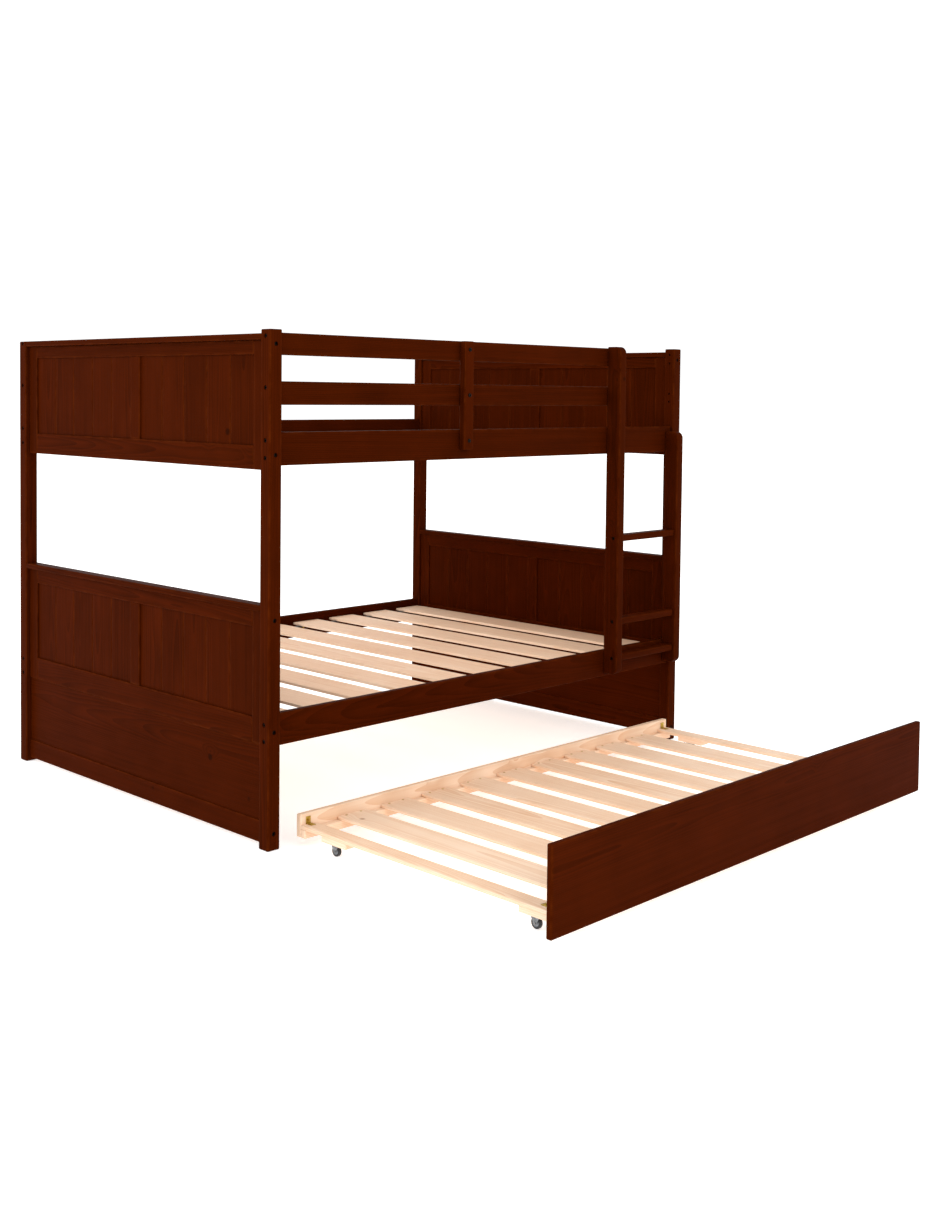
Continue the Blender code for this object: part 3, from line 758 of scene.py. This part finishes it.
ladder_leg("ladder_leg_right")
left_leg = ladder_leg("ladder_leg_left")
leg_seed = cuts
leg_low, leg_high = corners_of("ladder_leg_left")
leg_y = (leg_low[1] + leg_high[1]) / 2 - 0.008
mouths = [Vector((leg_low[0], leg_y, z)) for z in RUNG_HEIGHTS]
drill(left_leg, [(mouth, Vector((1, 0, 0)), BORE_RADIUS, 0.005) for mouth in mouths])
mark_again(left_leg.data, leg_low, leg_high, "z", leg_seed)
for mouth in mouths:
    bolt_heads.append(socket_head(mouth + Vector((0.005, 0, 0)), (-1, 0, 0), 0.0060, 0.0036, 0.0028))
for number in (1, 2, 3):
    plain_board(f"ladder_rung_{number}", "bunk", "x", WALNUT, 0.006)
fasteners("bed_bolts", "bunk", bolt_heads, BLACK_OXIDE)

# %% [markdown]
# ## Slat decks
#
# The bunks' slats come as a roll, stapled to two straps of black webbing that lie on the cleats'
# inner edge. Each slat is its own board with its own grain. The webbing is pulled nearly tight,
# so between two slats it dips only by a millimetre or two, as half a sine wave squared.

# %% Decks
DECK_SLATS = 10
DECK_SLAT_WIDTH = 0.135
STRAP_WIDTH = 0.024
STRAP_Y = 0.655


def slat_deck(node):
    """The slats as one piece, and the webbing under them as another."""
    low, high = corners_of(node)
    starts = np.linspace(low[0], high[0] - DECK_SLAT_WIDTH, DECK_SLATS)
    shells = [board((x, low[1], high[2] - SLAT_THICK), (x + DECK_SLAT_WIDTH, high[1], high[2]),
                    "y", 0.003) for x in starts]
    wooden(node, "bunk", shells, PINE)
    middle = (low[1] + high[1]) / 2
    pitch = starts[1] - starts[0]
    x = np.linspace(starts[0] + 0.02, high[0] - 0.02, 400)
    into_gap = (np.mod(x - starts[0], pitch) - DECK_SLAT_WIDTH) / (pitch - DECK_SLAT_WIDTH)
    dip = 0.0016 * np.sin(math.pi * np.clip(into_gap, 0, 1)) ** 2
    top = high[2] - SLAT_THICK - 0.0003 - dip
    straps = []
    for y in (middle - STRAP_Y, middle + STRAP_Y):
        straps.append(ribbon(x, y, top))
    mesh = make_mesh(node + "_webbing", straps, WEBBING)
    webbing = place_piece(node + "_webbing", mesh, "bunk")
    thick = webbing.modifiers.new("thickness", "SOLIDIFY")
    thick.thickness = 0.0014
    thick.offset = -1.0


def ribbon(x, y, z):
    """A flat strip along X whose height follows a curve: the points (x, y +- w/2, z(x))."""
    points = np.concatenate([np.stack([x, np.full_like(x, y + side * STRAP_WIDTH / 2), z], axis=1)
                             for side in (-1, 1)])
    count = len(x)
    i = np.arange(count - 1)
    faces = np.stack([i, i + 1, i + 1 + count, i + count], axis=1)
    return points, faces.tolist(), None


slat_deck("upper_slat_deck")
slat_deck("lower_slat_deck")
fasteners("cleat_screws", "bunk", screws, YELLOW_ZINC)

# %% [markdown]
# ## The trundle
#
# The trundle is a low tray: a walnut front panel, a pine rear rail standing higher than the
# slats, and two flat side rails on four wooden caster blocks. Slats screw down on a ledger at
# the front and one at the rear. Angle brackets in yellow zinc hold the four corners, longer ones
# at the front, where the panel is pulled by hand.

# %% Trundle boards
plain_board("trundle_front_panel", "trundle", "x", WALNUT, 0.004)
for node in ("trundle_rear_rail", "trundle_ledger_front", "trundle_ledger_rear"):
    plain_board(node, "trundle", "x", PINE)
for side_name in ("left", "right"):
    plain_board(f"trundle_side_rail_{side_name}", "trundle", "y", PINE)
    for end_name in ("front", "rear"):
        plain_board(f"caster_block_{end_name}_{side_name}", "trundle", "y", PINE, 0.002)
SCREW_IN = 0.028
LEDGER_MIDDLE = 0.010
slat_screws = []
for number in range(1, 10):
    node = f"trundle_slat_{number}"
    plain_board(node, "trundle", "y", PINE, 0.0025)
    slat_low, slat_high = corners_of(node)
    for x in (slat_low[0] + SCREW_IN, slat_high[0] - SCREW_IN):
        for y in (slat_low[1] + LEDGER_MIDDLE, slat_high[1] - LEDGER_MIDDLE):
            slat_screws.append(socket_head((x, y, slat_high[2] - 0.0004), (0, 0, 1),
                                           0.0040, 0.0010, 0.0014))
fasteners("trundle_screws", "trundle", slat_screws, YELLOW_ZINC)

# %% Angle brackets
BRACKET_THICK = 0.002
BRACKET_HALF = 0.009


def angle_bracket(side, end, reach, rise):
    """An L of two thin plates: one flat on the side rail, one up the board it meets.

    The end is -1 where the side rail meets the front panel and 1 where it meets the rear rail.
    """
    low, high = corners_of(f"trundle_side_rail_{'left' if side < 0 else 'right'}")
    x = (low[0] + high[0]) / 2
    corner = high[1] if end > 0 else low[1]
    z = high[2] + 0.0002
    far = corner - end * reach
    step = corner - end * BRACKET_THICK
    plates = [board((x - BRACKET_HALF, min(corner, far), z),
                    (x + BRACKET_HALF, max(corner, far), z + BRACKET_THICK), "y", 0.0008),
              board((x - BRACKET_HALF, min(corner, step), z),
                    (x + BRACKET_HALF, max(corner, step), z + rise), "z", 0.0008)]
    plates = [(points, faces, None) for points, faces, _ in plates]
    heads = [socket_head((x, step, z + 0.6 * rise), (0, -end, 0), 0.0042, 0.0016, 0.0015)]
    for away in np.arange(0.016, reach - 0.008, 0.025):
        heads.append(socket_head((x, corner - end * away, z + BRACKET_THICK), (0, 0, 1),
                                 0.0042, 0.0016, 0.0015))
    return plates + heads


brackets = []
for side in (-1, 1):
    brackets += angle_bracket(side, 1, 0.026, 0.022)
    brackets += angle_bracket(side, -1, 0.076, 0.030)
fasteners("angle_brackets", "trundle", brackets, YELLOW_ZINC)

# %% [markdown]
# ## Casters
#
# Each caster is a pressed steel fork on a small plate, a riveted axle, and a wheel with a grey
# nylon hub under a black tread. The fork keeps its engineering shape, since a pressed plate is
# just that. The wheel is turned: one closed profile swept round the axle, whose narrow steps
# make the hub's dish, its boss and the tread's rounded shoulders.

# %% Wheels and fork details
def wheel_profile(half, radius):
    """The wheel's closed section as (across, radius) pairs, from the bore out and back."""
    side = [(0.70, 0.165), (0.96, 0.20), (0.96, 0.31), (0.55, 0.36), (0.50, 0.58), (0.88, 0.64),
            (0.98, 0.70), (1.00, 0.76), (0.97, 0.88), (0.86, 0.955), (0.66, 0.99), (0.40, 1.0)]
    right = [(a * half, r * radius) for a, r in side]
    left = [(-a * half, r * radius) for a, r in reversed(side)]
    return np.array(right + left)


def turned(centre, profile, segments):
    """A closed profile swept round an axle along X: (x, r sin a, r cos a) for each (x, r)."""
    angles = np.linspace(0, 2 * math.pi, segments, endpoint=False)
    across, radius = profile[:, 0][:, None], profile[:, 1][:, None]
    points = np.stack([across + 0 * angles, radius * np.sin(angles), radius * np.cos(angles)], axis=-1)
    rows = len(profile)
    index = np.arange(rows * segments).reshape(rows, segments)
    nxt = np.roll(index, -1, 0)
    quads = np.stack([index, np.roll(index, -1, 1), np.roll(nxt, -1, 1), nxt], axis=-1)
    return points.reshape(-1, 3) + centre, quads.reshape(-1, 4).tolist()


def wheel(place):
    """The wheel as one piece: grey hub faces inside, black tread outside."""
    node = f"caster_wheel_{place}"
    low, high = corners_of(node)
    half, radius = (high[0] - low[0]) / 2, (high[2] - low[2]) / 2
    points, faces = turned((low + high) / 2, wheel_profile(half, radius), 64)
    mesh = make_mesh(node + "_turned", [(points, faces, None)], TREAD_RUBBER)
    mesh.materials.append(GREY_NYLON)
    middle = (low + high) / 2
    for face in mesh.polygons:
        reach = math.hypot(face.center.y - middle[1], face.center.z - middle[2])
        face.material_index = 1 if reach < 0.62 * radius else 0
    shape = bmesh.new()
    shape.from_mesh(mesh)
    bmesh.ops.recalc_face_normals(shape, faces=shape.faces)
    shape.to_mesh(mesh)
    shape.free()
    place_piece(node + "_turned", mesh, f"wheel_{place}", node)
    return middle


PLATE_THICK = 0.002
caster_heads = []
for place in ("front_left", "front_right", "rear_left", "rear_right"):
    axle = wheel(place)
    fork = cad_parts[f"caster_fork_{place}"]
    fork.data.materials.clear()
    # The fork's zinc is darkened as painted shade.
    fork.data.materials.append(SHADE_DARKENED_ZINC)
    fork_top = corners_of(f"caster_fork_{place}")[1][2]
    plate_under = fork_top - PLATE_THICK
    for side in (-1, 1):
        caster_heads.append(socket_head((axle[0] + side * 0.0087, axle[1], axle[2]),
                                        (side, 0, 0), 0.0034, 0.0014, 0.0008))
        for end in (-1, 1):
            spot = (axle[0] + side * 0.0118, axle[1] + end * 0.0195, plate_under)
            caster_heads.append(socket_head(spot, (0, 0, -1), 0.0026, 0.0012, 0.0010))
fasteners("caster_rivets", "trundle", caster_heads, SHADE_DARKENED_ZINC)

# %% [markdown]
# ## The floor
#
# A pale floor, large enough for its far edge to lie beyond every view. It is a hair below the
# feet, and a faint cloud in its gloss keeps it from looking like paper. It glows a little, as a
# studio's lit sweep does, so the ground under the bed stays light.

# %% Floor
def floor_sheet(reach, cells):
    """A flat square grid about the origin."""
    line = np.linspace(-reach, reach, cells + 1)
    x, y = np.meshgrid(line, line, indexing="ij")
    points = np.stack([x, y, np.full_like(x, -0.0006)], axis=-1).reshape(-1, 3)
    index = np.arange((cells + 1) ** 2).reshape(cells + 1, cells + 1)
    quads = np.stack([index[:-1, :-1], index[1:, :-1], index[1:, 1:], index[:-1, 1:]], axis=-1)
    return points, quads.reshape(-1, 4).tolist(), None


pale_floor = clouded("pale matt floor", "#F5F4F3", "#FBFAF9", 0.0, 0.75, 0.85, 900.0, 0.0)
glow = pale_floor.node_tree.nodes["Principled BSDF"].inputs
glow["Emission Color"].default_value = linear("#FFFFFF")
glow["Emission Strength"].default_value = 0.50
floor_mesh = make_mesh("floor", [floor_sheet(40.0, 8)], pale_floor)
floor = bpy.data.objects.new("floor", floor_mesh)
bpy.context.scene.collection.objects.link(floor)

# %% Count the boards cut
print("boards cut:", cuts)
